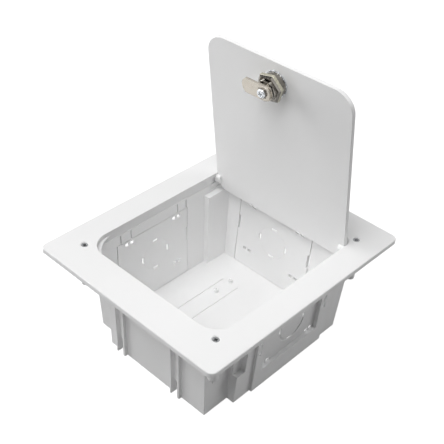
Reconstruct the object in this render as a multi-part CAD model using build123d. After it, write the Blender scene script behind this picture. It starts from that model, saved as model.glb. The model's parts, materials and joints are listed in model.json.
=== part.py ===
from build123d import *
import os
from math import cos, radians, sin, sqrt, tan

# Flush mounting box: a drafted tub that is built into a wall, a screwed-on cover frame,
# a hinged lid with a cam lock, and three snap-in cable entry panels.
# Millimetres. +X is the right side, -Y the front with the lock, +Y the hinge side, +Z up.
# The origin is the centre of the tub's underside. The lid stands open, as it is used.

# Overall sizes
box_height = 99.0
frame_width = 200.0
frame_depth = 234.0
frame_edge = 4.4
frame_plate = 2.4
frame_rim = 2.2
frame_corner_radius = 6.0
frame_top_chamfer = 0.5

# Opening of the frame and its skirt
opening_width = 150.2
opening_depth = 171.0
front_corner_radius = 19.0
back_corner_radius = 10.0
skirt_wall = 2.2
skirt_drop = 9.5
ledge_drop = 4.2
ledge_thickness = 1.6
ledge_corner_radius = 28.0

# Tub
wall = 2.6
floor_thickness = 2.5
draft_angle = 2.6
tub_corner_radius = 1.6
skirt_gap = 0.3
seam_gap = 0.1
collar_wall = 2.2
collar_drop = 18.0

# Corner recesses of the tub; a start is measured along the wall from its middle, and a
# reach from the tub's middle to the recess's outer face, on the level of the frame's top
recess_roof_drop = 20.6
right_recess_start = 56.2
right_recess_reach = 66.0
right_recess_draft = 0.2
left_recess_start = 58.5
left_recess_reach = 71.3
left_recess_draft = 1.8
front_recess_start = 49.3
front_recess_reach = 79.6
front_recess_draft = 3.5
upper_recess_start = 46.0
upper_recess_drop = 68.0
upper_recess_depth = 5.0
recess_slot_place = 75.7
recess_slot_width = 1.6
recess_slot_top_drop = 59.9
recess_slot_bottom_drop = 66.2

# Frame screws and their bosses
screw_spacing_x = 152.4
screw_spacing_y = 175.6
screw_boss_diameter = 9.0
screw_boss_drop = 42.0
screw_head_diameter = 7.0
screw_head_height = 2.0
screw_shank_diameter = 3.4
screw_length = 25.0
screw_hole_clearance = 0.4
screw_pilot_clearance = 0.05
screw_head_sink = 0.15
screw_cross_width = 0.8
screw_cross_length = 3.8
screw_cross_depth = 1.4
boss_web = 2.0
boss_web_reach_x = 8.0
boss_web_reach_y = 14.0

# Cable entry panels
panel_width = 86.0
panel_thickness = 1.3
panel_top_drop = 20.5
panel_gap = 0.5
panel_wide_gap = 1.2
panel_back_gap = 0.1
side_panel_offset = 10.4
back_panel_offset = 8.9
window_width = 73.0
window_top_drop = 22.0
window_bottom_drop = 78.2
knockout_diameter = 31.2
knockout_drop = 52.5
knockout_shift = 1.7
knockout_slot_width = 2.2
knockout_slot_length = 6.0
knockout_groove_depth = 0.7
latch_hole_width = 4.2
latch_hole_height = 3.4
latch_hole_places = (-32.0, -26.0, 26.0, 32.0)
latch_hole_drop = 24.4
pry_hole_drop = 76.4
edge_slot_top_drop = 42.0
edge_slot_bottom_drop = 57.0
edge_slot_reach = 3.5
edge_notch_depth = 1.8
tongue_slot_width = 1.2
tongue_slot_top_drop = 11.0
tongue_slot_places = (-41.8, -30.7, 26.8, 38.8)
rail_width = 10.0
rail_height = 2.2

# Front wall: two coupling channels and the slot for the lock's cam
channel_places = (-34.0, 33.5)
channel_width = 7.0
channel_depth = 1.2
channel_foot_depth = 4.0
channel_foot_height = 15.0
channel_lip_height = 3.0
channel_thin_lip = 1.5
channel_thick_lip = 2.3
channel_top_drop = 44.0
catch_slot_width = 24.0
catch_slot_height = 5.4

# Floor
floor_groove_places = (-38.4, -19.7, 19.7, 38.4)
floor_groove_length = 101.0
floor_groove_width = 1.2
floor_groove_depth = 0.6
floor_boss_places_x = (-30.6, 30.6)
floor_boss_places_y = (-52.0, -32.0, 32.0, 52.0)
floor_boss_diameter = 4.6
floor_boss_height = 2.0
floor_boss_sides = 12

# Lid and hinge
lid_gap = 0.6
lid_thickness = 3.7
lid_sink = 0.2
lid_front_radius = 18.0
lid_back_radius = 12.0
hinge_inset = 12.36
hinge_drop = 4.17
swing_gap = 0.35
trunnion_diameter = 4.0
trunnion_length = 2.4
trunnion_gap = 0.25
lug_radius = 3.2
lug_stretch = 2.0
lug_width = 5.0
ear_length = 20.0
ear_drop = 15.5
ear_pocket_length = 7.6
ear_pocket_height = 6.4
ear_pocket_depth = 1.4
lid_lean = 9.14

# Cam lock
lock_edge_distance = 19.4
lock_head_diameter = 22.0
lock_head_height = 1.8
lock_head_chamfer = 0.8
lock_body_diameter = 18.0
lock_flat_width = 15.8
lock_body_reach = 12.4
lock_hole_gap = 0.15
nut_across_flats = 22.0
nut_collar_diameter = 21.6
nut_collar_height = 4.0
nut_hexagon_height = 4.3
nut_chamfer = 0.6
nut_turn = 3.5
tooth_washer_diameter = 23.2
tooth_washer_thickness = 1.0
tooth_count = 16
tooth_depth = 1.2
tooth_space = 1.4
plug_diameter = 12.4
plug_gap = 0.1
plug_rim_diameter = 14.0
plug_rim_height = 1.0
plug_neck_length = 1.2
plug_square = 7.6
keyway_width = 2.2
keyway_height = 8.2
keyway_depth = 13.0
wafer_count = 5
wafer_thickness = 0.8
wafer_pitch = 1.9
wafer_width = 5.6
wafer_height = 11.6
wafer_window_width = 3.0
wafer_window_height = 6.6
wafer_gap = 0.06
wafer_first_depth = 2.0
stop_washer_thickness = 1.0
stop_washer_diameter = 17.0
stop_washer_cut = 2.2
cam_thickness = 2.1
cam_width = 13.4
cam_reach = 21.3
cam_tip_bulge = 3.5
cam_back_reach = 7.6
cam_back_radius = 6.1
square_gap = 0.1
cam_screw_head_diameter = 8.0
cam_screw_head_height = 1.8
cam_screw_head_chamfer = 0.7
cam_screw_diameter = 4.0
cam_screw_length = 8.0
cam_screw_cross_width = 1.0
cam_screw_cross_length = 4.8
cam_screw_cross_depth = 1.4
spring_washer_diameter = 8.8
spring_washer_bore_gap = 0.2
spring_washer_thickness = 0.8
spring_washer_split = 0.6

# How far a cutting shape runs past the face it cuts, and how far joined shapes overlap
cut = 1.0
tie = 0.5
beyond = 40.0

# Worked-out places
frame_top = box_height
opening_x = opening_width / 2
opening_y = opening_depth / 2
slope = tan(radians(draft_angle))
plate_underside = frame_top - frame_plate
rebate_level = frame_top - skirt_drop - seam_gap
screw_places = [(sx * screw_spacing_x / 2, sy * screw_spacing_y / 2) for sx in (-1, 1) for sy in (-1, 1)]

lid_x = opening_x - lid_gap
lid_front = -opening_y + lid_gap
lid_top = frame_top - lid_sink
lid_inner = lid_top - lid_thickness
hinge_y = opening_y - hinge_inset
hinge_z = frame_top - hinge_drop
tail_radius = hinge_inset - swing_gap
lock_y = lid_front + lock_edge_distance
open_angle = 90 - lid_lean

# Faces along the lock's axis, with the lid shut
washer_face = lid_inner - tooth_washer_thickness
nut_collar_face = washer_face - nut_collar_height
nut_face = nut_collar_face - nut_hexagon_height
lock_body_end = lid_inner - lock_body_reach
plug_shoulder = lock_body_end - plug_neck_length
stop_washer_face = plug_shoulder - stop_washer_thickness
cam_face = stop_washer_face - cam_thickness
spring_washer_face = cam_face - spring_washer_thickness
cam_screw_face = spring_washer_face - cam_screw_head_height


def block(x0, x1, y0, y1, z0, z1):
    """Box between two corners, given in any order along X and Y."""
    middle = Pos((x0 + x1) / 2, (y0 + y1) / 2, (z0 + z1) / 2)
    return middle * Box(abs(x1 - x0), abs(y1 - y0), z1 - z0)


def upright(radius, z0, z1, x=0.0, y=0.0):
    """Upright cylinder between two levels."""
    return Pos(x, y, (z0 + z1) / 2) * Cylinder(radius, z1 - z0)


def outline(grow, front_radius, back_radius):
    """Opening's outline grown by a distance, with its own front and back corner radii."""
    face = Rectangle(opening_width + 2 * grow, opening_depth + 2 * grow)
    corners = face.vertices().sort_by(Axis.Y)
    face = fillet(corners[:2], front_radius)
    corners = face.vertices().group_by(Axis.Y)[-1]
    return fillet(corners, back_radius)


def opening_prism(grow, z0, z1):
    """Upright prism of the opening's outline, grown with its corners."""
    face = outline(grow, front_corner_radius + grow, back_corner_radius + grow)
    return extrude(Pos(0, 0, z0) * face, z1 - z0)


def leaning_plane(turn, reach, draft):
    """Frame on a face that leans inwards below the frame's top: x along it, y up, z outwards."""
    tilt = radians(draft)
    heading = radians(turn)
    outward = Vector(cos(heading) * cos(tilt), sin(heading) * cos(tilt), -sin(tilt))
    along = Vector(-sin(heading), cos(heading), 0)
    return Plane(origin=(reach * cos(heading), reach * sin(heading), frame_top), x_dir=along, z_dir=outward)


# Inner faces of the tub's four walls
right_wall = leaning_plane(0, opening_x, draft_angle)
back_wall = leaning_plane(90, opening_y, draft_angle)
left_wall = leaning_plane(180, opening_x, draft_angle)
front_wall = leaning_plane(270, opening_y, draft_angle)

# Each panel's wall, its place along the wall, its knock-out's place on the panel, and the side of its wide gap
right_panel = (right_wall, side_panel_offset, knockout_shift, -1)
left_panel = (left_wall, side_panel_offset, -knockout_shift, 1)
back_panel = (back_wall, back_panel_offset, 0.0, -1)


def wall_block(plane, u0, u1, drop0, drop1, w0, w1):
    """Block in a wall's own frame: along the wall, down from the frame's top, and outwards."""
    return plane * block(u0, u1, -drop1, -drop0, w0, w1)


def drafted_prism(grow, z0):
    """Tub outline that narrows towards the floor, from the frame's top down to a level."""
    radius = tub_corner_radius + (wall if grow > 0 else 0.0)
    shrink = (frame_top - z0) * slope
    top = RectangleRounded(opening_width + 2 * grow, opening_depth + 2 * grow, radius)
    low = RectangleRounded(opening_width + 2 * (grow - shrink), opening_depth + 2 * (grow - shrink), radius)
    return loft([Pos(0, 0, z0) * low, Pos(0, 0, frame_top) * top])


def recess_blocks(grow):
    """Corner recesses that make room for fixings; grown by the wall they are inner linings."""
    far = -opening_y - beyond
    roof = recess_roof_drop - grow
    low = box_height + cut
    blocks = []
    for turn, reach, draft, start in ((0, right_recess_reach, right_recess_draft, right_recess_start),
                                      (180, left_recess_reach, left_recess_draft, left_recess_start),
                                      (270, front_recess_reach, front_recess_draft, front_recess_start)):
        face = leaning_plane(turn, reach, draft)
        blocks.append(wall_block(face, far, grow - start, roof, low, -grow, beyond))
    blocks.append(wall_block(right_wall, far, grow - upper_recess_start, roof, upper_recess_drop + grow,
                             wall - upper_recess_depth - grow, beyond))
    return blocks


def screw_boss(x, y):
    """Boss for one frame screw, tied to the tub by two webs."""
    low = frame_top - screw_boss_drop
    inner_x = x - boss_web_reach_x if x > 0 else x + boss_web_reach_x
    inner_y = y - boss_web_reach_y if y > 0 else y + boss_web_reach_y
    boss = upright(screw_boss_diameter / 2, low, plate_underside, x, y)
    boss += block(inner_x, x, y - boss_web / 2, y + boss_web / 2, low, plate_underside)
    boss += block(x - boss_web / 2, x + boss_web / 2, inner_y, y, low, plate_underside)
    return boss


def channel(centre):
    """Coupling channel on the front wall: its lips, its grooves and the foot's inner lining."""
    half = channel_width / 2
    low = box_height + cut
    foot = box_height - channel_foot_height
    lips = wall_block(front_wall, centre - half - channel_thin_lip, centre - half, channel_top_drop, low,
                      0, wall + channel_lip_height)
    lips += wall_block(front_wall, centre + half, centre + half + channel_thick_lip, channel_top_drop, low,
                       0, wall + channel_lip_height)
    groove = wall_block(front_wall, centre - half, centre + half, channel_top_drop, low,
                        wall - channel_depth, beyond)
    groove += wall_block(front_wall, centre - half, centre + half, foot, low,
                         wall - channel_foot_depth, beyond)
    lining = wall_block(front_wall, centre - half - wall, centre + half + wall, foot - wall, low,
                        -channel_foot_depth, beyond)
    return lips, groove, lining


def panel_ends(offset, wide_side):
    """Ends of a panel's pocket along the wall, one gap wide and one narrow."""
    low_gap = panel_wide_gap if wide_side < 0 else panel_gap
    high_gap = panel_wide_gap if wide_side > 0 else panel_gap
    return offset - panel_width / 2 - low_gap, offset + panel_width / 2 + high_gap


def panel_seat(panel):
    """Seat of an entry panel: what is cut from the wall, and the rails round its window."""
    plane, offset, shift, wide_side = panel
    start, end = panel_ends(offset, wide_side)
    floor_drop = box_height - floor_thickness
    half_window = window_width / 2
    pocket = wall_block(plane, start, end, panel_top_drop - panel_gap, floor_drop, -beyond,
                        panel_thickness + panel_back_gap)
    window = wall_block(plane, offset - half_window, offset + half_window, window_top_drop,
                        window_bottom_drop, -beyond, beyond)
    cuts = [pocket, window]
    for edge, inward in ((start, edge_slot_reach), (end, -edge_slot_reach)):
        cuts.append(wall_block(plane, edge, edge + inward, edge_slot_top_drop, edge_slot_bottom_drop,
                               -beyond, beyond))
    for place in tongue_slot_places:
        middle = offset + place
        cuts.append(wall_block(plane, middle - tongue_slot_width / 2, middle + tongue_slot_width / 2,
                               tongue_slot_top_drop, panel_top_drop, -beyond / 8, wall))
    outer = half_window + rail_width
    rails = wall_block(plane, offset - outer, offset + outer, collar_drop - tie, box_height + cut,
                       wall / 2, wall + rail_height)
    rails -= wall_block(plane, offset - half_window, offset + half_window, 0, window_bottom_drop, -beyond, beyond)
    return cuts, rails


def make_box_body():
    """Tub in one moulding: walls, floor, recesses, channels, panel seats, collar and bosses."""
    collar_grow = skirt_wall + skirt_gap + collar_wall
    shell = drafted_prism(wall, -cut)
    for recess in recess_blocks(0.0):
        shell -= recess
    shell += opening_prism(collar_grow, frame_top - collar_drop, frame_top)
    cavity = drafted_prism(0.0, floor_thickness)
    for lining in recess_blocks(wall):
        cavity -= lining
    panel_cuts = []
    for panel in (right_panel, left_panel, back_panel):
        cuts, rails = panel_seat(panel)
        panel_cuts += cuts
        shell += rails
    grooves = []
    for place in channel_places:
        lips, groove, lining = channel(place)
        shell += lips
        grooves.append(groove)
        cavity -= lining
    for x, y in screw_places:
        shell += screw_boss(x, y)
    for groove in grooves:
        shell -= groove
    body = shell - cavity
    for opening in panel_cuts:
        body -= opening
    body -= opening_prism(skirt_wall + skirt_gap, rebate_level, frame_top + cut)
    body -= block(-frame_width, frame_width, -frame_depth, frame_depth, plate_underside, frame_top + cut)
    body -= block(-frame_width, frame_width, -frame_depth, frame_depth, -2 * beyond, 0)
    ear_reach = ear_length / 2 + panel_gap
    for side in (-1, 1):
        body -= block(side * (opening_x - wall), side * (opening_x + skirt_wall + skirt_gap),
                      hinge_y - ear_reach, hinge_y + ear_reach, frame_top - ear_drop - seam_gap, frame_top)
    slot_middle = cam_face + cam_thickness / 2
    body -= block(-catch_slot_width / 2, catch_slot_width / 2, -frame_depth / 2, -opening_y + 3 * wall,
                  slot_middle - catch_slot_height / 2, slot_middle + catch_slot_height / 2)
    body -= block(right_recess_reach - 3 * wall, right_recess_reach + cut,
                  -recess_slot_place - recess_slot_width / 2, -recess_slot_place + recess_slot_width / 2,
                  frame_top - recess_slot_bottom_drop, frame_top - recess_slot_top_drop)
    for x, y in screw_places:
        body -= upright(screw_shank_diameter / 2 + screw_pilot_clearance, frame_top - screw_length - cut,
                        frame_top, x, y)
    half_groove = floor_groove_width / 2
    half_length = floor_groove_length / 2
    for x in floor_groove_places:
        body -= block(x - half_groove, x + half_groove, -half_length, half_length,
                      floor_thickness - floor_groove_depth, floor_thickness + cut)
    stud = extrude(RegularPolygon(floor_boss_diameter / 2, floor_boss_sides), floor_thickness / 2 + floor_boss_height)
    for x in floor_boss_places_x:
        for y in floor_boss_places_y:
            body += Pos(x, y, floor_thickness / 2) * stud
    return body


def make_entry_panel(panel):
    """Entry panel in one moulding, with a knock-out disc held by four thin webs."""
    plane, offset, shift, wide_side = panel
    half = panel_width / 2
    bottom = box_height - floor_thickness - panel_gap
    plate = wall_block(plane, offset - half, offset + half, panel_top_drop, bottom, 0, panel_thickness)
    for place in latch_hole_places:
        middle = offset + place
        for drop in (latch_hole_drop, pry_hole_drop):
            plate -= wall_block(plane, middle - latch_hole_width / 2, middle + latch_hole_width / 2,
                                drop - latch_hole_height / 2, drop + latch_hole_height / 2, -cut, wall)
    for side in (-1, 1):
        plate -= wall_block(plane, offset + side * (half - edge_notch_depth), offset + side * (half + cut),
                            edge_slot_top_drop, edge_slot_bottom_drop, -cut, wall)
    centre = plane * Pos(offset + shift, -knockout_drop, 0)
    inner = knockout_diameter / 2 - knockout_slot_width / 2
    outer = knockout_diameter / 2 + knockout_slot_width / 2
    ring = Cylinder(outer, 4 * panel_thickness) - Cylinder(inner, 4 * panel_thickness)
    bars = Box(knockout_slot_length, 4 * outer, 4 * panel_thickness)
    bars += Box(4 * outer, knockout_slot_length, 4 * panel_thickness)
    plate -= centre * (ring & bars)
    plate -= centre * Pos(0, 0, 3 * panel_thickness - knockout_groove_depth) * ring
    return plate


def make_cover_frame():
    """Cover frame in one moulding: plate with a rim, skirt, lid ledges and hinge ears."""
    edge_level = frame_top - frame_edge
    tied_level = frame_top - frame_plate / 2
    plate = extrude(Pos(0, 0, edge_level) * RectangleRounded(frame_width, frame_depth, frame_corner_radius),
                    frame_edge)
    plate = chamfer(plate.faces().sort_by(Axis.Z)[-1].edges(), frame_top_chamfer)
    hollow = RectangleRounded(frame_width - 2 * frame_rim, frame_depth - 2 * frame_rim,
                              frame_corner_radius - frame_rim)
    plate -= extrude(Pos(0, 0, edge_level) * hollow, frame_edge - frame_plate)
    frame = plate + opening_prism(skirt_wall, frame_top - skirt_drop, tied_level)
    for side in (-1, 1):
        frame += block(side * (opening_x - cut / 2), side * (opening_x + skirt_wall), hinge_y - ear_length / 2,
                       hinge_y + ear_length / 2, frame_top - ear_drop, tied_level)
    frame -= opening_prism(0.0, 0, frame_top + cut)
    for side in (-1, 1):
        frame -= block(side * (opening_x - cut), side * opening_x, hinge_y - ear_length, hinge_y + ear_length,
                       0, edge_level)
    crescent = outline(0.0, front_corner_radius, back_corner_radius)
    crescent -= outline(0.0, ledge_corner_radius, back_corner_radius)
    frame += extrude(Pos(0, 0, frame_top - ledge_drop - ledge_thickness) * crescent, ledge_thickness)
    for side in (-1, 1):
        frame -= block(side * (opening_x - cut), side * (opening_x + ear_pocket_depth),
                       hinge_y - ear_pocket_length, hinge_y - trunnion_diameter / 4,
                       hinge_z - ear_pocket_height, hinge_z)
        bore_length = skirt_wall + cut
        bore = Pos(side * (opening_x - cut + bore_length / 2), hinge_y, hinge_z) * Rot(0, 90, 0)
        frame -= bore * Cylinder(trunnion_diameter / 2 + trunnion_gap, bore_length)
    head = screw_head_diameter / 2 + screw_head_sink
    for x, y in screw_places:
        frame -= upright(screw_shank_diameter / 2 + screw_hole_clearance, edge_level, frame_top, x, y)
        frame -= Pos(x, y, frame_top - screw_head_height / 2) * Cone(head - screw_head_height, head,
                                                                   screw_head_height)
    return frame


def cross_recess(width, length, z0, z1):
    """Cross-shaped driver recess between two levels."""
    bar = block(-length / 2, length / 2, -width / 2, width / 2, z0, z1)
    return bar + block(-width / 2, width / 2, -length / 2, length / 2, z0, z1)


def make_frame_screws():
    """Four countersunk cross-recess screws."""
    top = frame_top - screw_head_sink
    head = Cone(screw_head_diameter / 2 - screw_head_height, screw_head_diameter / 2, screw_head_height)
    screw = Pos(0, 0, top - screw_head_height / 2) * head
    screw += upright(screw_shank_diameter / 2, top - screw_length, top - tie)
    screw -= cross_recess(screw_cross_width, screw_cross_length, top - screw_cross_depth, top)
    return Compound(children=[Pos(x, y, 0) * screw for x, y in screw_places])


def opened(shape):
    """Swing a piece of the shut lid about the hinge to where the lid stands open."""
    axis = Axis((0, hinge_y, hinge_z), (1, 0, 0))
    return shape.rotate(axis, -open_angle)


def lock_section(gap):
    """Double-flatted section of the lock's body, with its flats towards hinge and free edge."""
    return Circle(lock_body_diameter / 2 + gap) & Rectangle(2 * lock_body_diameter, lock_flat_width + 2 * gap)


def make_lid():
    """Lid in one moulding: plate, tail shaped to swing, hinge lugs and trunnions."""
    tail = hinge_y + tail_radius
    face = Pos(0, (lid_front + tail) / 2) * Rectangle(2 * lid_x, tail - lid_front)
    corners = face.vertices().sort_by(Axis.Y)
    face = fillet(corners[:2], lid_front_radius)
    face = fillet(face.vertices().group_by(Axis.Y)[-1], lid_back_radius)
    lid = extrude(Pos(0, 0, lid_inner) * face, lid_thickness)
    swing = Pos(0, hinge_y, hinge_z) * Rot(0, 90, 0) * Cylinder(tail_radius, 4 * lid_x)
    lid &= swing + block(-2 * lid_x, 2 * lid_x, lid_front - cut, hinge_y, lid_inner - cut, lid_top + cut)
    lug_middle = Pos(hinge_y + lug_stretch / 2, hinge_z)
    for side in (-1, 1):
        lug_start = lid_x - lug_width if side > 0 else -lid_x
        lug = extrude(Plane.YZ.offset(lug_start) * lug_middle * SlotCenterToCenter(lug_stretch, 2 * lug_radius),
                      lug_width)
        pin_length = trunnion_length + tie
        pin = Pos(side * (lid_x - tie + pin_length / 2), hinge_y, hinge_z) * Rot(0, 90, 0)
        lid += lug
        lid += pin * Cylinder(trunnion_diameter / 2, pin_length)
    lid -= extrude(Pos(0, lock_y, lid_inner - cut) * lock_section(lock_hole_gap), lid_thickness + 2 * cut)
    return lid


def make_lock_housing():
    """Lock housing: round head outside the lid and a flatted, threaded body through it."""
    top = lid_top + lock_head_height
    housing = upright(lock_head_diameter / 2, lid_top, top)
    housing = chamfer(housing.faces().sort_by(Axis.Z)[-1].edges(), lock_head_chamfer)
    housing += extrude(Pos(0, 0, lock_body_end) * lock_section(0.0), lid_top + tie - lock_body_end)
    housing -= upright(plug_diameter / 2 + plug_gap, lock_body_end - cut, top + cut)
    housing -= upright(plug_rim_diameter / 2 + plug_gap, top - plug_rim_height, top + cut)
    return Pos(0, lock_y, 0) * housing


def wafer_levels():
    """Middle of each wafer along the lock's axis."""
    first = lid_top - wafer_first_depth
    return [first - wafer_pitch * i for i in range(wafer_count)]


def make_lock_plug():
    """Lock plug: rim, barrel with keyway and wafer slots, and a square tail for the cam."""
    top = lid_top + lock_head_height
    plug = upright(plug_diameter / 2, plug_shoulder, top)
    plug += upright(plug_rim_diameter / 2, top - plug_rim_height + plug_gap / 2, top)
    plug += block(-plug_square / 2, plug_square / 2, -plug_square / 2, plug_square / 2, cam_face, plug_shoulder + cut)
    plug -= block(-keyway_width / 2, keyway_width / 2, -keyway_height / 2, keyway_height / 2,
                  top - keyway_depth, top + cut)
    slot_x = wafer_width / 2 + wafer_gap
    slot_z = wafer_thickness / 2 + wafer_gap
    for level in wafer_levels():
        plug -= block(-slot_x, slot_x, -plug_diameter, plug_diameter, level - slot_z, level + slot_z)
    plug -= upright(cam_screw_diameter / 2, cam_face - cut, cam_face + cam_screw_length)
    return Pos(0, lock_y, 0) * plug


def make_lock_wafers():
    """Flat wafers in the plug, each with a window for the key."""
    wafers = []
    for level in wafer_levels():
        wafer = Box(wafer_width, wafer_height, wafer_thickness)
        wafer -= Box(wafer_window_width, wafer_window_height, 2 * wafer_thickness)
        wafer &= Cylinder(plug_diameter / 2, 2 * wafer_thickness)
        wafers.append(Pos(0, lock_y, level) * wafer)
    return Compound(children=wafers)


def make_tooth_washer():
    """Toothed lock washer between the lid and the nut."""
    radius = tooth_washer_diameter / 2
    washer = upright(radius, washer_face, lid_inner)
    washer -= upright(lock_body_diameter / 2 + lock_hole_gap, washer_face - cut, lid_inner + cut)
    notch = block(radius - tooth_depth, 2 * radius, -tooth_space / 2, tooth_space / 2, washer_face - cut,
                  lid_inner + cut)
    for i in range(tooth_count):
        washer -= Rot(0, 0, 360 / tooth_count * i) * notch
    return Pos(0, lock_y, 0) * washer


def make_lock_nut():
    """Nut on the lock's thread: a chamfered hexagon with a round collar towards the lid."""
    radius = nut_across_flats / sqrt(3)
    hexagon = Pos(0, 0, nut_face) * Rot(0, 0, nut_turn) * RegularPolygon(radius, 6)
    nut = extrude(hexagon, nut_hexagon_height)
    nut &= Pos(0, 0, nut_face + nut_hexagon_height / 2) * Cone(radius - nut_chamfer,
                                                           radius - nut_chamfer + nut_hexagon_height,
                                                           nut_hexagon_height)
    nut += upright(nut_collar_diameter / 2, nut_collar_face - tie, washer_face)
    nut -= upright(lock_body_diameter / 2 + lock_hole_gap, nut_face - cut, washer_face + cut)
    return Pos(0, lock_y, 0) * nut


def square_hole(z0, z1):
    """Square bore that fits over the plug's tail."""
    side = plug_square / 2 + square_gap
    return block(-side, side, -side, side, z0, z1)


def make_stop_washer():
    """Washer on the plug's square, cut straight on one side to limit the turn."""
    radius = stop_washer_diameter / 2
    washer = upright(radius, stop_washer_face, plug_shoulder)
    washer &= block(-2 * radius, 2 * radius, -radius + stop_washer_cut, 2 * radius, stop_washer_face - cut,
                    plug_shoulder + cut)
    washer -= square_hole(stop_washer_face - cut, plug_shoulder + cut)
    return Pos(0, lock_y, 0) * washer


def make_lock_cam():
    """Flat cam with a round back and a bulging tip, pointing to the left when unlocked."""
    half = cam_width / 2
    shoulder = -cam_reach + cam_tip_bulge
    sides = Polyline((shoulder, half), (cam_back_reach, half), (cam_back_reach, -half), (shoulder, -half))
    tip = ThreePointArc((shoulder, -half), (-cam_reach, 0), (shoulder, half))
    face = make_face([sides, tip])
    face = fillet(face.vertices().group_by(Axis.X)[-1], cam_back_radius)
    cam = extrude(Pos(0, 0, cam_face) * face, cam_thickness)
    cam -= square_hole(cam_face - cut, stop_washer_face + cut)
    return Pos(0, lock_y, 0) * cam


def make_spring_washer():
    """Split spring washer under the cam screw."""
    washer = upright(spring_washer_diameter / 2, spring_washer_face, cam_face)
    washer -= upright(cam_screw_diameter / 2 + spring_washer_bore_gap, spring_washer_face - cut, cam_face + cut)
    washer -= block(0, spring_washer_diameter, -spring_washer_split / 2, spring_washer_split / 2,
                    spring_washer_face - cut, cam_face + cut)
    return Pos(0, lock_y, 0) * washer


def make_cam_screw():
    """Cross-recess screw that holds the cam on the plug."""
    head = upright(cam_screw_head_diameter / 2, cam_screw_face, spring_washer_face)
    head = chamfer(head.faces().sort_by(Axis.Z)[0].edges(), cam_screw_head_chamfer)
    screw = head + upright(cam_screw_diameter / 2 - screw_pilot_clearance, spring_washer_face - tie,
                           spring_washer_face + cam_screw_length)
    screw -= cross_recess(cam_screw_cross_width, cam_screw_cross_length, cam_screw_face,
                          cam_screw_face + cam_screw_cross_depth)
    return Pos(0, lock_y, 0) * screw


parts = {
    "box_body": make_box_body(),
    "entry_panel_right": make_entry_panel(right_panel),
    "entry_panel_left": make_entry_panel(left_panel),
    "entry_panel_back": make_entry_panel(back_panel),
    "cover_frame": make_cover_frame(),
    "frame_screws": make_frame_screws(),
    "lid": opened(make_lid()),
    "lock_housing": opened(make_lock_housing()),
    "lock_tooth_washer": opened(make_tooth_washer()),
    "lock_nut": opened(make_lock_nut()),
    "lock_plug": opened(make_lock_plug()),
    "lock_wafers": opened(make_lock_wafers()),
    "lock_stop_washer": opened(make_stop_washer()),
    "lock_cam": opened(make_lock_cam()),
    "lock_spring_washer": opened(make_spring_washer()),
    "lock_cam_screw": opened(make_cam_screw()),
}

os.makedirs("parts", exist_ok=True)
for name, shape in parts.items():
    export_step(shape, f"parts/{name}.step")
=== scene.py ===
import json
import math

import bmesh
import bpy
from mathutils import Matrix, Vector


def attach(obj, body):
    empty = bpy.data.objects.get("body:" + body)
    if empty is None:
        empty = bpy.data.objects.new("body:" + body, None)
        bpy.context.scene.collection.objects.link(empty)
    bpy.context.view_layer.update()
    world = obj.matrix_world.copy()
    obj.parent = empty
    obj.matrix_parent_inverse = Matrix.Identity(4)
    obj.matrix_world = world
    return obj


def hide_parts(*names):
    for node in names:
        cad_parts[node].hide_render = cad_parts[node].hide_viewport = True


# A white flush mounting box on a pale studio floor, lid open, seen from above its near corner.
# Metres, in the part's own frame: +Z up out of the wall, +Y towards the hinge.

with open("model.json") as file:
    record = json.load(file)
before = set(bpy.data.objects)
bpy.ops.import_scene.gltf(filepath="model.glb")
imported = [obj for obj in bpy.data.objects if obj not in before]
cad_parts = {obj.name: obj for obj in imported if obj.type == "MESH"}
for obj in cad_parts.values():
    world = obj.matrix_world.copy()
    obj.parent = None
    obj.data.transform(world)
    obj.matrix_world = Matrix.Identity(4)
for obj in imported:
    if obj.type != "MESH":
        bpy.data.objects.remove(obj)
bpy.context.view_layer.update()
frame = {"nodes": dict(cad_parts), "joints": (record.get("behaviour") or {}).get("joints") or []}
nodes = frame["nodes"]
millimetre = 0.001

# Camera, fitted to the photo
camera_place = Vector((0.3732, -0.4346, 0.5554))
camera_azimuth = math.radians(43.622)
camera_elevation = math.radians(37.649)
camera_roll = math.radians(2.339)
camera_lens = 69.706
camera_sensor = 36.0
camera_shift_x = 0.0768
camera_shift_y = 0.0099
camera_near = 0.01
camera_far = 50

# Colours, each with the shade that its clouds bring in
moulding_white = (0.93, 0.93, 0.928, 1)
moulding_shade = (0.91, 0.91, 0.912, 1)
lid_white = (0.925, 0.925, 0.923, 1)
lid_shade = (0.905, 0.905, 0.907, 1)
# The frame's white is set darker than the tub's moulding to tone down its brightly lit top: painted
# shade.
frame_white_painted_shade = (0.86, 0.86, 0.858, 1)
frame_cloud_painted_shade = (0.84, 0.84, 0.842, 1)
# Nickel is set dark as painted shade for the dark reflections on the nut's front and collar, and it
# darkens the housing and plug the same way; its warm copy is a painted tan reflection for the nut's side
# flats.
nickel = (0.36, 0.34, 0.31, 1)
nickel_shade = (0.20, 0.19, 0.17, 1)
nickel_painted_reflection = (0.72, 0.70, 0.58, 1)
nickel_painted_reflection_cloud = (0.60, 0.57, 0.46, 1)
cam_nickel = (0.55, 0.515, 0.46, 1)
cam_nickel_shade = (0.46, 0.425, 0.37, 1)
zinc = (0.72, 0.74, 0.76, 1)
zinc_shade = (0.56, 0.58, 0.61, 1)
dull_zinc = (0.46, 0.47, 0.48, 1)
dull_zinc_shade = (0.22, 0.225, 0.23, 1)
dark_steel = (0.30, 0.29, 0.28, 1)
dark_steel_shade = (0.18, 0.17, 0.16, 1)
brass = (0.7, 0.52, 0.25, 1)
brass_shade = (0.5, 0.36, 0.16, 1)

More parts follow.
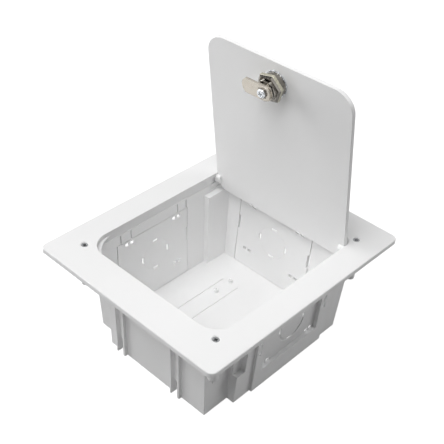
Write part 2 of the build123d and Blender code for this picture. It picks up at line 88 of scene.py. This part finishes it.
# Finishes: smoothest and roughest sheen, and the scale of the clouds
tub_finish = (0.34, 0.42, 30)
frame_finish = (0.30, 0.38, 30)
lid_finish = (0.28, 0.34, 30)
polished_finish = (0.10, 0.18, 120)
hexagon_finish = (0.22, 0.34, 150)
cam_finish = (0.22, 0.32, 90)
zinc_finish = (0.20, 0.32, 200)
dull_zinc_finish = (0.25, 0.4, 400)
spring_finish = (0.3, 0.4, 200)
brass_finish = (0.25, 0.35, 150)
plastic_shine = 0.3
metal_shine = 0.5
grain_scale = 900
grain_height = 0.000006
edge_softness = 0.00035
edge_samples = 6
cloud_detail = 3
grain_detail = 2

# Places of the two colours and of the result on a colour mix node
mix_first = 6
mix_second = 7
mix_result = 2

# Knock-out rings on the entry panels, as the mark that the mould leaves on the inner side
ring_radius = 0.0156
ring_width = 0.0009
ring_depth = 0.00018
ring_level = 0.04655
ring_places = {
    "entry_panel_right": ((0.0, 0.0121, ring_level), (0, 1, 1)),
    "entry_panel_left": ((0.0, -0.0087, ring_level), (0, 1, 1)),
    "entry_panel_back": ((-0.0089, 0.0, ring_level), (1, 0, 1)),
}

# Steps round a turned shape, foot of a cross recess against its mouth, and limits in degrees of smoothing
round_steps = 72
screw_steps = 48
stud_steps = 36
cross_foot_share = 0.55
smooth_limit = 40
crisp_limit = 25

# Frame screws, in millimetres: place of each, then the sunk head, its cross and the shank
screw_places = [(76.2 * sx, 87.8 * sy) for sx in (-1, 1) for sy in (-1, 1)]
screw_head_level = 98.35
screw_head_radius = 2.9
screw_neck_radius = 1.6
screw_cone_height = 1.3
screw_length = 24.0
screw_tip_length = 1.0
screw_cross_arm = 1.9
screw_cross_half_width = 0.6
screw_cross_depth = 2.2
screw_first_turn = 20
screw_next_turn = 25

# Cam screw and threaded housing, in millimetres from the lid's inner face along the lock's axis
cam_screw_seat = 17.5
cam_screw_radius = 4.0
cam_screw_height = 1.8
cam_screw_shank = 2.0
cam_screw_length = 8.0
cam_screw_cross_arm = 2.3
cam_screw_cross_half_width = 0.62
cam_screw_cross_depth = 1.7
cam_screw_turn = 28
cam_screw_dome = ((0.62, 0), (0.80, 0.15), (0.92, 0.45), (1, 1.0))
lid_thickness = 3.7
housing_end = 12.4
housing_bore = 6.3
housing_flat = 7.9
cut_reach = 0.00001
thread_crest = 9.0
thread_root = 8.35
thread_pitch = 1.0
thread_crest_width = 0.12
thread_root_width = 0.12
housing_head_radius = 11.0
housing_head_height = 1.8
housing_head_chamfer = 0.8
housing_rim_bore = 7.1
housing_rim_depth = 1.0

# Nut on the lock's thread, in millimetres from the lid's inner face
nut_collar_radius = 10.8
nut_collar_foot = 1.0
nut_hexagon_foot = 6.0
nut_hexagon_end = 10.0
nut_corner_radius = 13.3
nut_bore = 9.05
nut_front_chamfer = 1.0
nut_face_radius = 11.2
nut_turn = 17.1
nut_sides = 6
nut_flat_inside = 9.55
upright_limit = 0.1

# Screw sockets on the tub's floor studs, in millimetres
stud_places = [(x, y) for x in (-30.6, 30.6) for y in (-52.0, -32.0, 32.0, 52.0)]
stud_radius = 2.35
stud_hole_radius = 1.1
stud_foot = 3.0
stud_top = 5.9
stud_chamfer = 0.3

# Studio
floor_size = 6.0
floor_drop = 0.0003
backdrop_white = (1.0, 1.0, 1.0, 1)
floor_bounce = (0.3, 0.3, 0.3, 1)
floor_glow = 0.93
world_strength = 0.1
studio_dark = (0.03, 0.03, 0.03, 1)
studio_dark_below = 0.12
studio_white_above = 0.42
lamps = (
    ("top", (0.0, 0.0, 2.0), 1.5, 9.5),
    ("front", (0.0, -1.0, 1.8), 1.2, 20.5),
    ("left", (-1.1, -0.4, 0.55), 0.9, 9.5),
    ("back", (0.75, 1.0, 0.8), 0.8, 4.8),
)
lamp_aim = (0.0, 0.0, 0.08)


def make_camera():
    """Perspective camera at the photo's place, angle and framing."""
    back = Vector((math.sin(camera_azimuth) * math.cos(camera_elevation),
                   -math.cos(camera_azimuth) * math.cos(camera_elevation),
                   math.sin(camera_elevation)))
    level = Vector((math.cos(camera_azimuth), math.sin(camera_azimuth), 0))
    upward = back.cross(level)
    right = level * math.cos(camera_roll) + upward * math.sin(camera_roll)
    top = upward * math.cos(camera_roll) - level * math.sin(camera_roll)
    data = bpy.data.cameras.new("camera")
    data.sensor_fit = "HORIZONTAL"
    data.sensor_width = camera_sensor
    data.lens = camera_lens
    data.shift_x = camera_shift_x
    data.shift_y = camera_shift_y
    data.clip_start = camera_near
    data.clip_end = camera_far
    camera = bpy.data.objects.new("camera", data)
    turn = Matrix((right, top, back)).transposed().to_4x4()
    camera.matrix_world = Matrix.Translation(camera_place) @ turn
    bpy.context.collection.objects.link(camera)
    bpy.context.scene.camera = camera


def surface_group():
    """Node group for a moulded or plated surface: cloudy colour, fine grain and softened edges."""
    group = bpy.data.node_groups.new("surface", "ShaderNodeTree")
    sockets = (("Colour", "NodeSocketColor"), ("Shade", "NodeSocketColor"),
               ("Cloud Scale", "NodeSocketFloat"), ("Grain Scale", "NodeSocketFloat"),
               ("Grain Height", "NodeSocketFloat"), ("Smooth", "NodeSocketFloat"),
               ("Rough", "NodeSocketFloat"), ("Mark", "NodeSocketFloat"))
    for name, kind in sockets:
        group.interface.new_socket(name=name, in_out="INPUT", socket_type=kind)
    for name, kind in (("Colour", "NodeSocketColor"), ("Roughness", "NodeSocketFloat"),
                       ("Normal", "NodeSocketVector")):
        group.interface.new_socket(name=name, in_out="OUTPUT", socket_type=kind)
    make = group.nodes.new
    link = group.links.new
    given = make("NodeGroupInput")
    result = make("NodeGroupOutput")
    place = make("ShaderNodeTexCoord")
    cloud = make("ShaderNodeTexNoise")
    cloud.inputs["Detail"].default_value = cloud_detail
    link(place.outputs["Object"], cloud.inputs["Vector"])
    link(given.outputs["Cloud Scale"], cloud.inputs["Scale"])
    tint = make("ShaderNodeMix")
    tint.data_type = "RGBA"
    link(cloud.outputs["Fac"], tint.inputs["Factor"])
    link(given.outputs["Colour"], tint.inputs[mix_first])
    link(given.outputs["Shade"], tint.inputs[mix_second])
    link(tint.outputs[mix_result], result.inputs["Colour"])
    sheen = make("ShaderNodeMapRange")
    link(cloud.outputs["Fac"], sheen.inputs["Value"])
    link(given.outputs["Smooth"], sheen.inputs["To Min"])
    link(given.outputs["Rough"], sheen.inputs["To Max"])
    link(sheen.outputs["Result"], result.inputs["Roughness"])
    edge = make("ShaderNodeBevel")
    edge.samples = edge_samples
    edge.inputs["Radius"].default_value = edge_softness
    grain = make("ShaderNodeTexNoise")
    grain.inputs["Detail"].default_value = grain_detail
    link(place.outputs["Object"], grain.inputs["Vector"])
    link(given.outputs["Grain Scale"], grain.inputs["Scale"])
    texture = make("ShaderNodeBump")
    texture.inputs["Strength"].default_value = 1
    link(given.outputs["Grain Height"], texture.inputs["Distance"])
    link(grain.outputs["Fac"], texture.inputs["Height"])
    link(edge.outputs["Normal"], texture.inputs["Normal"])
    groove = make("ShaderNodeBump")
    groove.invert = True
    groove.inputs["Strength"].default_value = 1
    groove.inputs["Distance"].default_value = ring_depth
    link(given.outputs["Mark"], groove.inputs["Height"])
    link(texture.outputs["Normal"], groove.inputs["Normal"])
    link(groove.outputs["Normal"], result.inputs["Normal"])
    return group


def ring_group():
    """Node group for a round groove about an axis: 1 on the groove's line, 0 away from it."""
    group = bpy.data.node_groups.new("ring_mark", "ShaderNodeTree")
    group.interface.new_socket(name="Centre", in_out="INPUT", socket_type="NodeSocketVector")
    group.interface.new_socket(name="Plane", in_out="INPUT", socket_type="NodeSocketVector")
    group.interface.new_socket(name="Mark", in_out="OUTPUT", socket_type="NodeSocketFloat")
    make = group.nodes.new
    link = group.links.new
    given = make("NodeGroupInput")
    result = make("NodeGroupOutput")
    place = make("ShaderNodeTexCoord")
    away = make("ShaderNodeVectorMath")
    away.operation = "SUBTRACT"
    link(place.outputs["Object"], away.inputs[0])
    link(given.outputs["Centre"], away.inputs[1])
    flat = make("ShaderNodeVectorMath")
    flat.operation = "MULTIPLY"
    link(away.outputs["Vector"], flat.inputs[0])
    link(given.outputs["Plane"], flat.inputs[1])
    distance = make("ShaderNodeVectorMath")
    distance.operation = "LENGTH"
    link(flat.outputs["Vector"], distance.inputs[0])
    off = make("ShaderNodeMath")
    off.operation = "SUBTRACT"
    off.inputs[1].default_value = ring_radius
    link(distance.outputs["Value"], off.inputs[0])
    size = make("ShaderNodeMath")
    size.operation = "ABSOLUTE"
    link(off.outputs["Value"], size.inputs[0])
    fade = make("ShaderNodeMapRange")
    fade.interpolation_type = "SMOOTHSTEP"
    fade.inputs["From Min"].default_value = ring_width
    fade.inputs["From Max"].default_value = 0
    link(size.outputs["Value"], fade.inputs["Value"])
    link(fade.outputs["Result"], result.inputs["Mark"])
    return group


surface = surface_group()
ring_mark = ring_group()


def material(name, colour, shade, finish, metallic=0, shine=metal_shine, ring=None):
    """Material from the shared surface group and one Principled shader."""
    made = bpy.data.materials.new(name)
    made.use_nodes = True
    made.node_tree.nodes.clear()
    make = made.node_tree.nodes.new
    link = made.node_tree.links.new
    group = make("ShaderNodeGroup")
    group.node_tree = surface
    smooth, rough, cloud = finish
    values = (("Colour", colour), ("Shade", shade), ("Cloud Scale", cloud), ("Grain Scale", grain_scale),
              ("Grain Height", grain_height), ("Smooth", smooth), ("Rough", rough), ("Mark", 0))
    for key, value in values:
        group.inputs[key].default_value = value
    if ring:
        mark = make("ShaderNodeGroup")
        mark.node_tree = ring_mark
        mark.inputs["Centre"].default_value = ring[0]
        mark.inputs["Plane"].default_value = ring[1]
        link(mark.outputs["Mark"], group.inputs["Mark"])
    shader = make("ShaderNodeBsdfPrincipled")
    shader.inputs["Metallic"].default_value = metallic
    shader.inputs["Specular IOR Level"].default_value = shine
    output = make("ShaderNodeOutputMaterial")
    link(group.outputs["Colour"], shader.inputs["Base Color"])
    link(group.outputs["Roughness"], shader.inputs["Roughness"])
    link(group.outputs["Normal"], shader.inputs["Normal"])
    link(shader.outputs["BSDF"], output.inputs["Surface"])
    return made


def plastic(name, colour, shade, finish, ring=None):
    """Moulded white plastic."""
    return material(name, colour, shade, finish, shine=plastic_shine, ring=ring)


def metal(name, colour, shade, finish):
    """Plated or bare metal."""
    return material(name, colour, shade, finish, metallic=1)


def finish_node(name, made):
    """Give a node its material."""
    slots = nodes[name].material_slots
    for slot in slots:
        slot.material = made
    if not slots:
        nodes[name].data.materials.append(made)


tub_plastic = plastic("tub_plastic", moulding_white, moulding_shade, tub_finish)
frame_plastic = plastic("frame_plastic", frame_white_painted_shade, frame_cloud_painted_shade, frame_finish)
lid_plastic = plastic("lid_plastic", lid_white, lid_shade, lid_finish)
nickel_plate = metal("nickel_plate", nickel, nickel_shade, polished_finish)
hexagon_painted_reflection = metal("hexagon_painted_reflection", nickel_painted_reflection, nickel_painted_reflection_cloud, hexagon_finish)
cam_plate = metal("cam_plate", cam_nickel, cam_nickel_shade, cam_finish)
zinc_plate = metal("zinc_plate", zinc, zinc_shade, zinc_finish)
dull_zinc_plate = metal("dull_zinc_plate", dull_zinc, dull_zinc_shade, dull_zinc_finish)
spring_steel = metal("spring_steel", dark_steel, dark_steel_shade, spring_finish)
wafer_brass = metal("wafer_brass", brass, brass_shade, brass_finish)

coats = {
    "box_body": tub_plastic,
    "cover_frame": frame_plastic,
    "lid": lid_plastic,
    "lock_tooth_washer": zinc_plate,
    "lock_plug": nickel_plate,
    "lock_wafers": wafer_brass,
    "lock_stop_washer": cam_plate,
    "lock_cam": cam_plate,
    "lock_spring_washer": spring_steel,
}
for name, made in coats.items():
    finish_node(name, made)
for name, ring in ring_places.items():
    finish_node(name, plastic(name, moulding_white, moulding_shade, tub_finish, ring))


def lock_seat():
    """Place of the lock on the lid's inner face, with Z into the box and Y up the lid."""
    joint = next(joint for joint in frame["joints"] if joint["name"] == "lock_turn")
    inward = -Vector(joint["axis"]).normalized()
    across = Vector((1, 0, 0))
    up = inward.cross(across)
    turn = Matrix((across, up, inward)).transposed().to_4x4()
    return Matrix.Translation(Vector(joint["pos_m"])) @ turn @ Matrix.Scale(millimetre, 4)


def add_piece(name, shape, made, body, replaced=None):
    """Turn a finished bmesh into a piece that rides on a body, and may stand for a node."""
    mesh = bpy.data.meshes.new(name)
    bmesh.ops.recalc_face_normals(shape, faces=shape.faces[:])
    shape.to_mesh(mesh)
    shape.free()
    mesh.materials.append(made)
    piece = bpy.data.objects.new(name, mesh)
    bpy.context.collection.objects.link(piece)
    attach(piece, body)
    if replaced:
        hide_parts(replaced)
    return piece


def turned_ring(shape, profile, steps=round_steps):
    """Closed profile of radius and height, turned once about Z."""
    corners = [shape.verts.new((radius, 0, height)) for radius, height in profile]
    edges = [shape.edges.new((corners[i - 1], corners[i])) for i in range(len(corners))]
    bmesh.ops.spin(shape, geom=corners + edges, cent=(0, 0, 0), axis=(0, 0, 1), angle=2 * math.pi,
                   steps=steps, use_merge=True, dvec=(0, 0, 0))


def pull_rim(shape, rim, share, height):
    """Extrude a rim of edges to a share of its width and to a height, and give the new rim."""
    made = bmesh.ops.extrude_edge_only(shape, edges=rim)
    fresh = [item for item in made["geom"] if isinstance(item, bmesh.types.BMVert)]
    for corner in fresh:
        corner.co = Vector((corner.co.x * share, corner.co.y * share, height))
    return [item for item in made["geom"] if isinstance(item, bmesh.types.BMEdge)
            and item.verts[0] in fresh and item.verts[1] in fresh]


def level_circle(shape, segments, radius, height):
    """Circle of edges at a height."""
    corners = bmesh.ops.create_circle(shape, cap_ends=False, segments=segments, radius=radius)["verts"]
    for corner in corners:
        corner.co.z = height
    return list({edge for corner in corners for edge in corner.link_edges})


def smooth_by_angle(piece, limit=smooth_limit):
    """Smooth shading with crisp edges where faces meet at more than the limit, in degrees."""
    mesh = piece.data
    work = bmesh.new()
    work.from_mesh(mesh)
    for face in work.faces:
        face.smooth = True
    for edge in work.edges:
        edge.smooth = len(edge.link_faces) == 2 and edge.calc_face_angle(0) < math.radians(limit)
    work.to_mesh(mesh)
    work.free()


def driver_screw(shape, rings, arm, half_width, depth):
    """Cross-recess screw: rings give radius and height from the head's face to the tip."""
    radius, height = rings[0]
    rim = level_circle(shape, screw_steps, radius, height)
    outline = [(arm, -half_width), (arm, half_width), (half_width, half_width), (half_width, arm),
               (-half_width, arm), (-half_width, half_width), (-arm, half_width), (-arm, -half_width),
               (-half_width, -half_width), (-half_width, -arm), (half_width, -arm),
               (half_width, -half_width)]
    cross = [shape.verts.new((x, y, height)) for x, y in outline]
    inner = [shape.edges.new((cross[i - 1], cross[i])) for i in range(len(cross))]
    bmesh.ops.bridge_loops(shape, edges=rim + inner)
    floor = pull_rim(shape, inner, cross_foot_share, height - depth)
    bmesh.ops.contextual_create(shape, geom=floor)
    for next_radius, next_height in rings[1:]:
        rim = pull_rim(shape, rim, next_radius / radius, next_height)
        radius = next_radius
    bmesh.ops.contextual_create(shape, geom=rim)


def join_copies(one, whole, matrix):
    """Add one small part, moved, to the whole, and free it."""
    bmesh.ops.transform(one, matrix=matrix, verts=one.verts[:])
    part = bpy.data.meshes.new("one_part")
    one.to_mesh(part)
    one.free()
    whole.from_mesh(part)
    bpy.data.meshes.remove(part)


def make_frame_screws():
    """Four countersunk screws, sunk a little below the frame's top."""
    top = screw_head_level
    rings = [(screw_head_radius, top), (screw_neck_radius, top - screw_cone_height),
             (screw_neck_radius, top - screw_length),
             (screw_neck_radius / 2, top - screw_length - screw_tip_length)]
    whole = bmesh.new()
    for index, (x, y) in enumerate(screw_places):
        one = bmesh.new()
        driver_screw(one, rings, screw_cross_arm, screw_cross_half_width, screw_cross_depth)
        turn = Matrix.Rotation(math.radians(screw_first_turn + screw_next_turn * index), 4, "Z")
        join_copies(one, whole, Matrix.Translation((x, y, 0)) @ turn)
    bmesh.ops.scale(whole, vec=(millimetre, millimetre, millimetre), verts=whole.verts[:])
    add_piece("frame_screw_set", whole, dull_zinc_plate, "box", "frame_screws")


def make_cam_screw():
    """Pan-head cross-recess screw on the cam."""
    face = cam_screw_seat + cam_screw_height
    radius = cam_screw_radius
    rings = [(radius * share, face - drop) for share, drop in cam_screw_dome]
    rings += [(radius, cam_screw_seat), (cam_screw_shank, cam_screw_seat),
              (cam_screw_shank, cam_screw_seat - cam_screw_length)]
    shape = bmesh.new()
    driver_screw(shape, rings, cam_screw_cross_arm, cam_screw_cross_half_width, cam_screw_cross_depth)
    turn = Matrix.Rotation(math.radians(cam_screw_turn), 4, "Z")
    bmesh.ops.transform(shape, matrix=lock_seat() @ turn, verts=shape.verts[:])
    piece = add_piece("cam_pan_screw", shape, zinc_plate, "lock_body", "lock_cam_screw")
    smooth_by_angle(piece)


def make_housing():
    """Lock housing: chamfered head outside the lid and a threaded body with two flats."""
    body = bmesh.new()
    profile = [(housing_bore, -lid_thickness), (housing_bore, housing_end), (thread_root, housing_end)]
    level = housing_end - thread_pitch / 2
    while level > thread_pitch - lid_thickness:
        middle = level - thread_pitch / 2
        profile += [(thread_crest, level), (thread_crest, level - thread_crest_width),
                    (thread_root, middle), (thread_root, middle - thread_root_width)]
        level -= thread_pitch
    profile.append((thread_root, -lid_thickness))
    turned_ring(body, profile)
    for side in (-1, 1):
        cut = bmesh.ops.bisect_plane(body, geom=body.verts[:] + body.edges[:] + body.faces[:],
                                     dist=cut_reach, plane_co=(0, side * housing_flat, 0),
                                     plane_no=(0, side, 0), clear_outer=True)
        edges = [item for item in cut["geom_cut"] if isinstance(item, bmesh.types.BMEdge)]
        bmesh.ops.contextual_create(body, geom=edges)
    outside = -lid_thickness - housing_head_height
    turned_ring(body, [(housing_bore, -lid_thickness), (housing_bore, outside + housing_rim_depth),
                       (housing_rim_bore, outside + housing_rim_depth), (housing_rim_bore, outside),
                       (housing_head_radius - housing_head_chamfer, outside),
                       (housing_head_radius, outside + housing_head_chamfer),
                       (housing_head_radius, -lid_thickness)])
    bmesh.ops.transform(body, matrix=lock_seat(), verts=body.verts[:])
    piece = add_piece("threaded_housing", body, nickel_plate, "lid_body", "lock_housing")
    smooth_by_angle(piece, crisp_limit)


def make_nut():
    """Nut: a round collar towards the lid, and a hexagon whose side flats carry a lighter, warmer copy of
    the nickel as a painted tan reflection.
    """
    shape = bmesh.new()
    turned_ring(shape, [(nut_bore, nut_collar_foot), (nut_collar_radius, nut_collar_foot),
                        (nut_collar_radius, nut_hexagon_foot), (nut_bore, nut_hexagon_foot)])
    collar_faces = set(shape.faces)
    hexagon = level_circle(shape, nut_sides, nut_corner_radius, nut_hexagon_foot)
    bore = level_circle(shape, screw_steps, nut_bore, nut_hexagon_foot)
    bmesh.ops.triangle_fill(shape, edges=hexagon + bore, use_beauty=True)
    side = pull_rim(shape, hexagon, 1, nut_hexagon_end - nut_front_chamfer)
    front = pull_rim(shape, side, nut_face_radius / nut_corner_radius, nut_hexagon_end)
    inside = pull_rim(shape, bore, 1, nut_hexagon_end)
    bmesh.ops.triangle_fill(shape, edges=front + inside, use_beauty=True)
    shape.normal_update()
    # The hexagon's side flats take the second material, a painted tan reflection; the collar and the
    # front keep the dark nickel, painted shade.
    for face in shape.faces:
        upright = abs(face.normal.z) < upright_limit and face not in collar_faces
        face.material_index = int(upright and face.calc_center_median().xy.length > nut_flat_inside)
    turn = Matrix.Rotation(math.radians(-nut_turn), 4, "Z")
    bmesh.ops.transform(shape, matrix=lock_seat() @ turn, verts=shape.verts[:])
    piece = add_piece("lock_hexagon_nut", shape, nickel_plate, "lid_body", "lock_nut")
    piece.data.materials.append(hexagon_painted_reflection)
    smooth_by_angle(piece, crisp_limit)


def make_stud_sockets():
    """Small round sockets with a hole, on the studs of the tub's floor."""
    whole = bmesh.new()
    for x, y in stud_places:
        one = bmesh.new()
        turned_ring(one, [(stud_hole_radius, stud_foot), (stud_radius, stud_foot),
                          (stud_radius, stud_top - stud_chamfer), (stud_radius - stud_chamfer, stud_top),
                          (stud_hole_radius + stud_chamfer, stud_top),
                          (stud_hole_radius, stud_top - stud_chamfer)], stud_steps)
        join_copies(one, whole, Matrix.Translation((x, y, 0)))
    bmesh.ops.scale(whole, vec=(millimetre, millimetre, millimetre), verts=whole.verts[:])
    piece = add_piece("floor_stud_sockets", whole, tub_plastic, "box")
    smooth_by_angle(piece)


make_frame_screws()
make_cam_screw()
make_housing()
make_nut()
make_stud_sockets()


def area_light(name, place, size, power):
    """Soft square lamp at a place, turned towards the object."""
    data = bpy.data.lights.new(name, "AREA")
    data.shape = "SQUARE"
    data.size = size
    data.energy = power
    lamp = bpy.data.objects.new(name, data)
    lamp.location = place
    lamp.rotation_euler = (Vector(lamp_aim) - Vector(place)).to_track_quat("-Z", "Y").to_euler()
    bpy.context.collection.objects.link(lamp)


def make_floor():
    """Pale floor that keeps the shadow and looks white to the camera."""
    mesh = bpy.data.meshes.new("studio_floor")
    shape = bmesh.new()
    bmesh.ops.create_grid(shape, x_segments=1, y_segments=1, size=floor_size)
    bmesh.ops.translate(shape, vec=(0, 0, -floor_drop), verts=shape.verts[:])
    shape.to_mesh(mesh)
    shape.free()
    floor = bpy.data.objects.new("studio_floor", mesh)
    bpy.context.collection.objects.link(floor)
    made = bpy.data.materials.new("studio_floor")
    made.use_nodes = True
    made.node_tree.nodes.clear()
    make = made.node_tree.nodes.new
    link = made.node_tree.links.new
    path = make("ShaderNodeLightPath")
    seen = make("ShaderNodeMath")
    seen.operation = "MAXIMUM"
    link(path.outputs["Is Camera Ray"], seen.inputs[0])
    link(path.outputs["Is Glossy Ray"], seen.inputs[1])
    matt = make("ShaderNodeBsdfDiffuse")
    matt.inputs["Color"].default_value = floor_bounce
    glow = make("ShaderNodeEmission")
    glow.inputs["Color"].default_value = backdrop_white
    glow.inputs["Strength"].default_value = floor_glow
    both = make("ShaderNodeAddShader")
    link(matt.outputs["BSDF"], both.inputs[0])
    link(glow.outputs["Emission"], both.inputs[1])
    choice = make("ShaderNodeMixShader")
    link(seen.outputs["Value"], choice.inputs["Fac"])
    link(matt.outputs["BSDF"], choice.inputs[1])
    link(both.outputs["Shader"], choice.inputs[2])
    output = make("ShaderNodeOutputMaterial")
    link(choice.outputs["Shader"], output.inputs["Surface"])
    mesh.materials.append(made)


def make_world():
    """Soft even light, with a white backdrop for the camera."""
    world = bpy.data.worlds.new("studio")
    bpy.context.scene.world = world
    world.use_nodes = True
    world.node_tree.nodes.clear()
    make = world.node_tree.nodes.new
    link = world.node_tree.links.new
    path = make("ShaderNodeLightPath")
    seen = make("ShaderNodeMath")
    seen.operation = "MAXIMUM"
    link(path.outputs["Is Camera Ray"], seen.inputs[0])
    link(path.outputs["Is Transmission Ray"], seen.inputs[1])
    place = make("ShaderNodeTexCoord")
    parts = make("ShaderNodeSeparateXYZ")
    link(place.outputs["Generated"], parts.inputs["Vector"])
    height = make("ShaderNodeMapRange")
    height.inputs["From Min"].default_value = studio_dark_below
    height.inputs["From Max"].default_value = studio_white_above
    link(parts.outputs["Z"], height.inputs["Value"])
    wall = make("ShaderNodeMix")
    wall.data_type = "RGBA"
    wall.inputs[mix_first].default_value = studio_dark
    wall.inputs[mix_second].default_value = backdrop_white
    link(height.outputs["Result"], wall.inputs["Factor"])
    mirrored = make("ShaderNodeBackground")
    mirrored.inputs["Strength"].default_value = 1
    link(wall.outputs[mix_result], mirrored.inputs["Color"])
    soft = make("ShaderNodeBackground")
    soft.inputs["Strength"].default_value = world_strength
    soft.inputs["Color"].default_value = backdrop_white
    white = make("ShaderNodeBackground")
    white.inputs["Color"].default_value = backdrop_white
    white.inputs["Strength"].default_value = 1
    unseen = make("ShaderNodeMixShader")
    link(path.outputs["Is Glossy Ray"], unseen.inputs["Fac"])
    link(soft.outputs["Background"], unseen.inputs[1])
    link(mirrored.outputs["Background"], unseen.inputs[2])
    choice = make("ShaderNodeMixShader")
    link(seen.outputs["Value"], choice.inputs["Fac"])
    link(unseen.outputs["Shader"], choice.inputs[1])
    link(white.outputs["Background"], choice.inputs[2])
    output = make("ShaderNodeOutputWorld")
    link(choice.outputs["Shader"], output.inputs["Surface"])


make_camera()
make_floor()
make_world()
for name, place, size, power in lamps:
    area_light(name, place, size, power)
bpy.context.scene.view_settings.view_transform = "Standard"
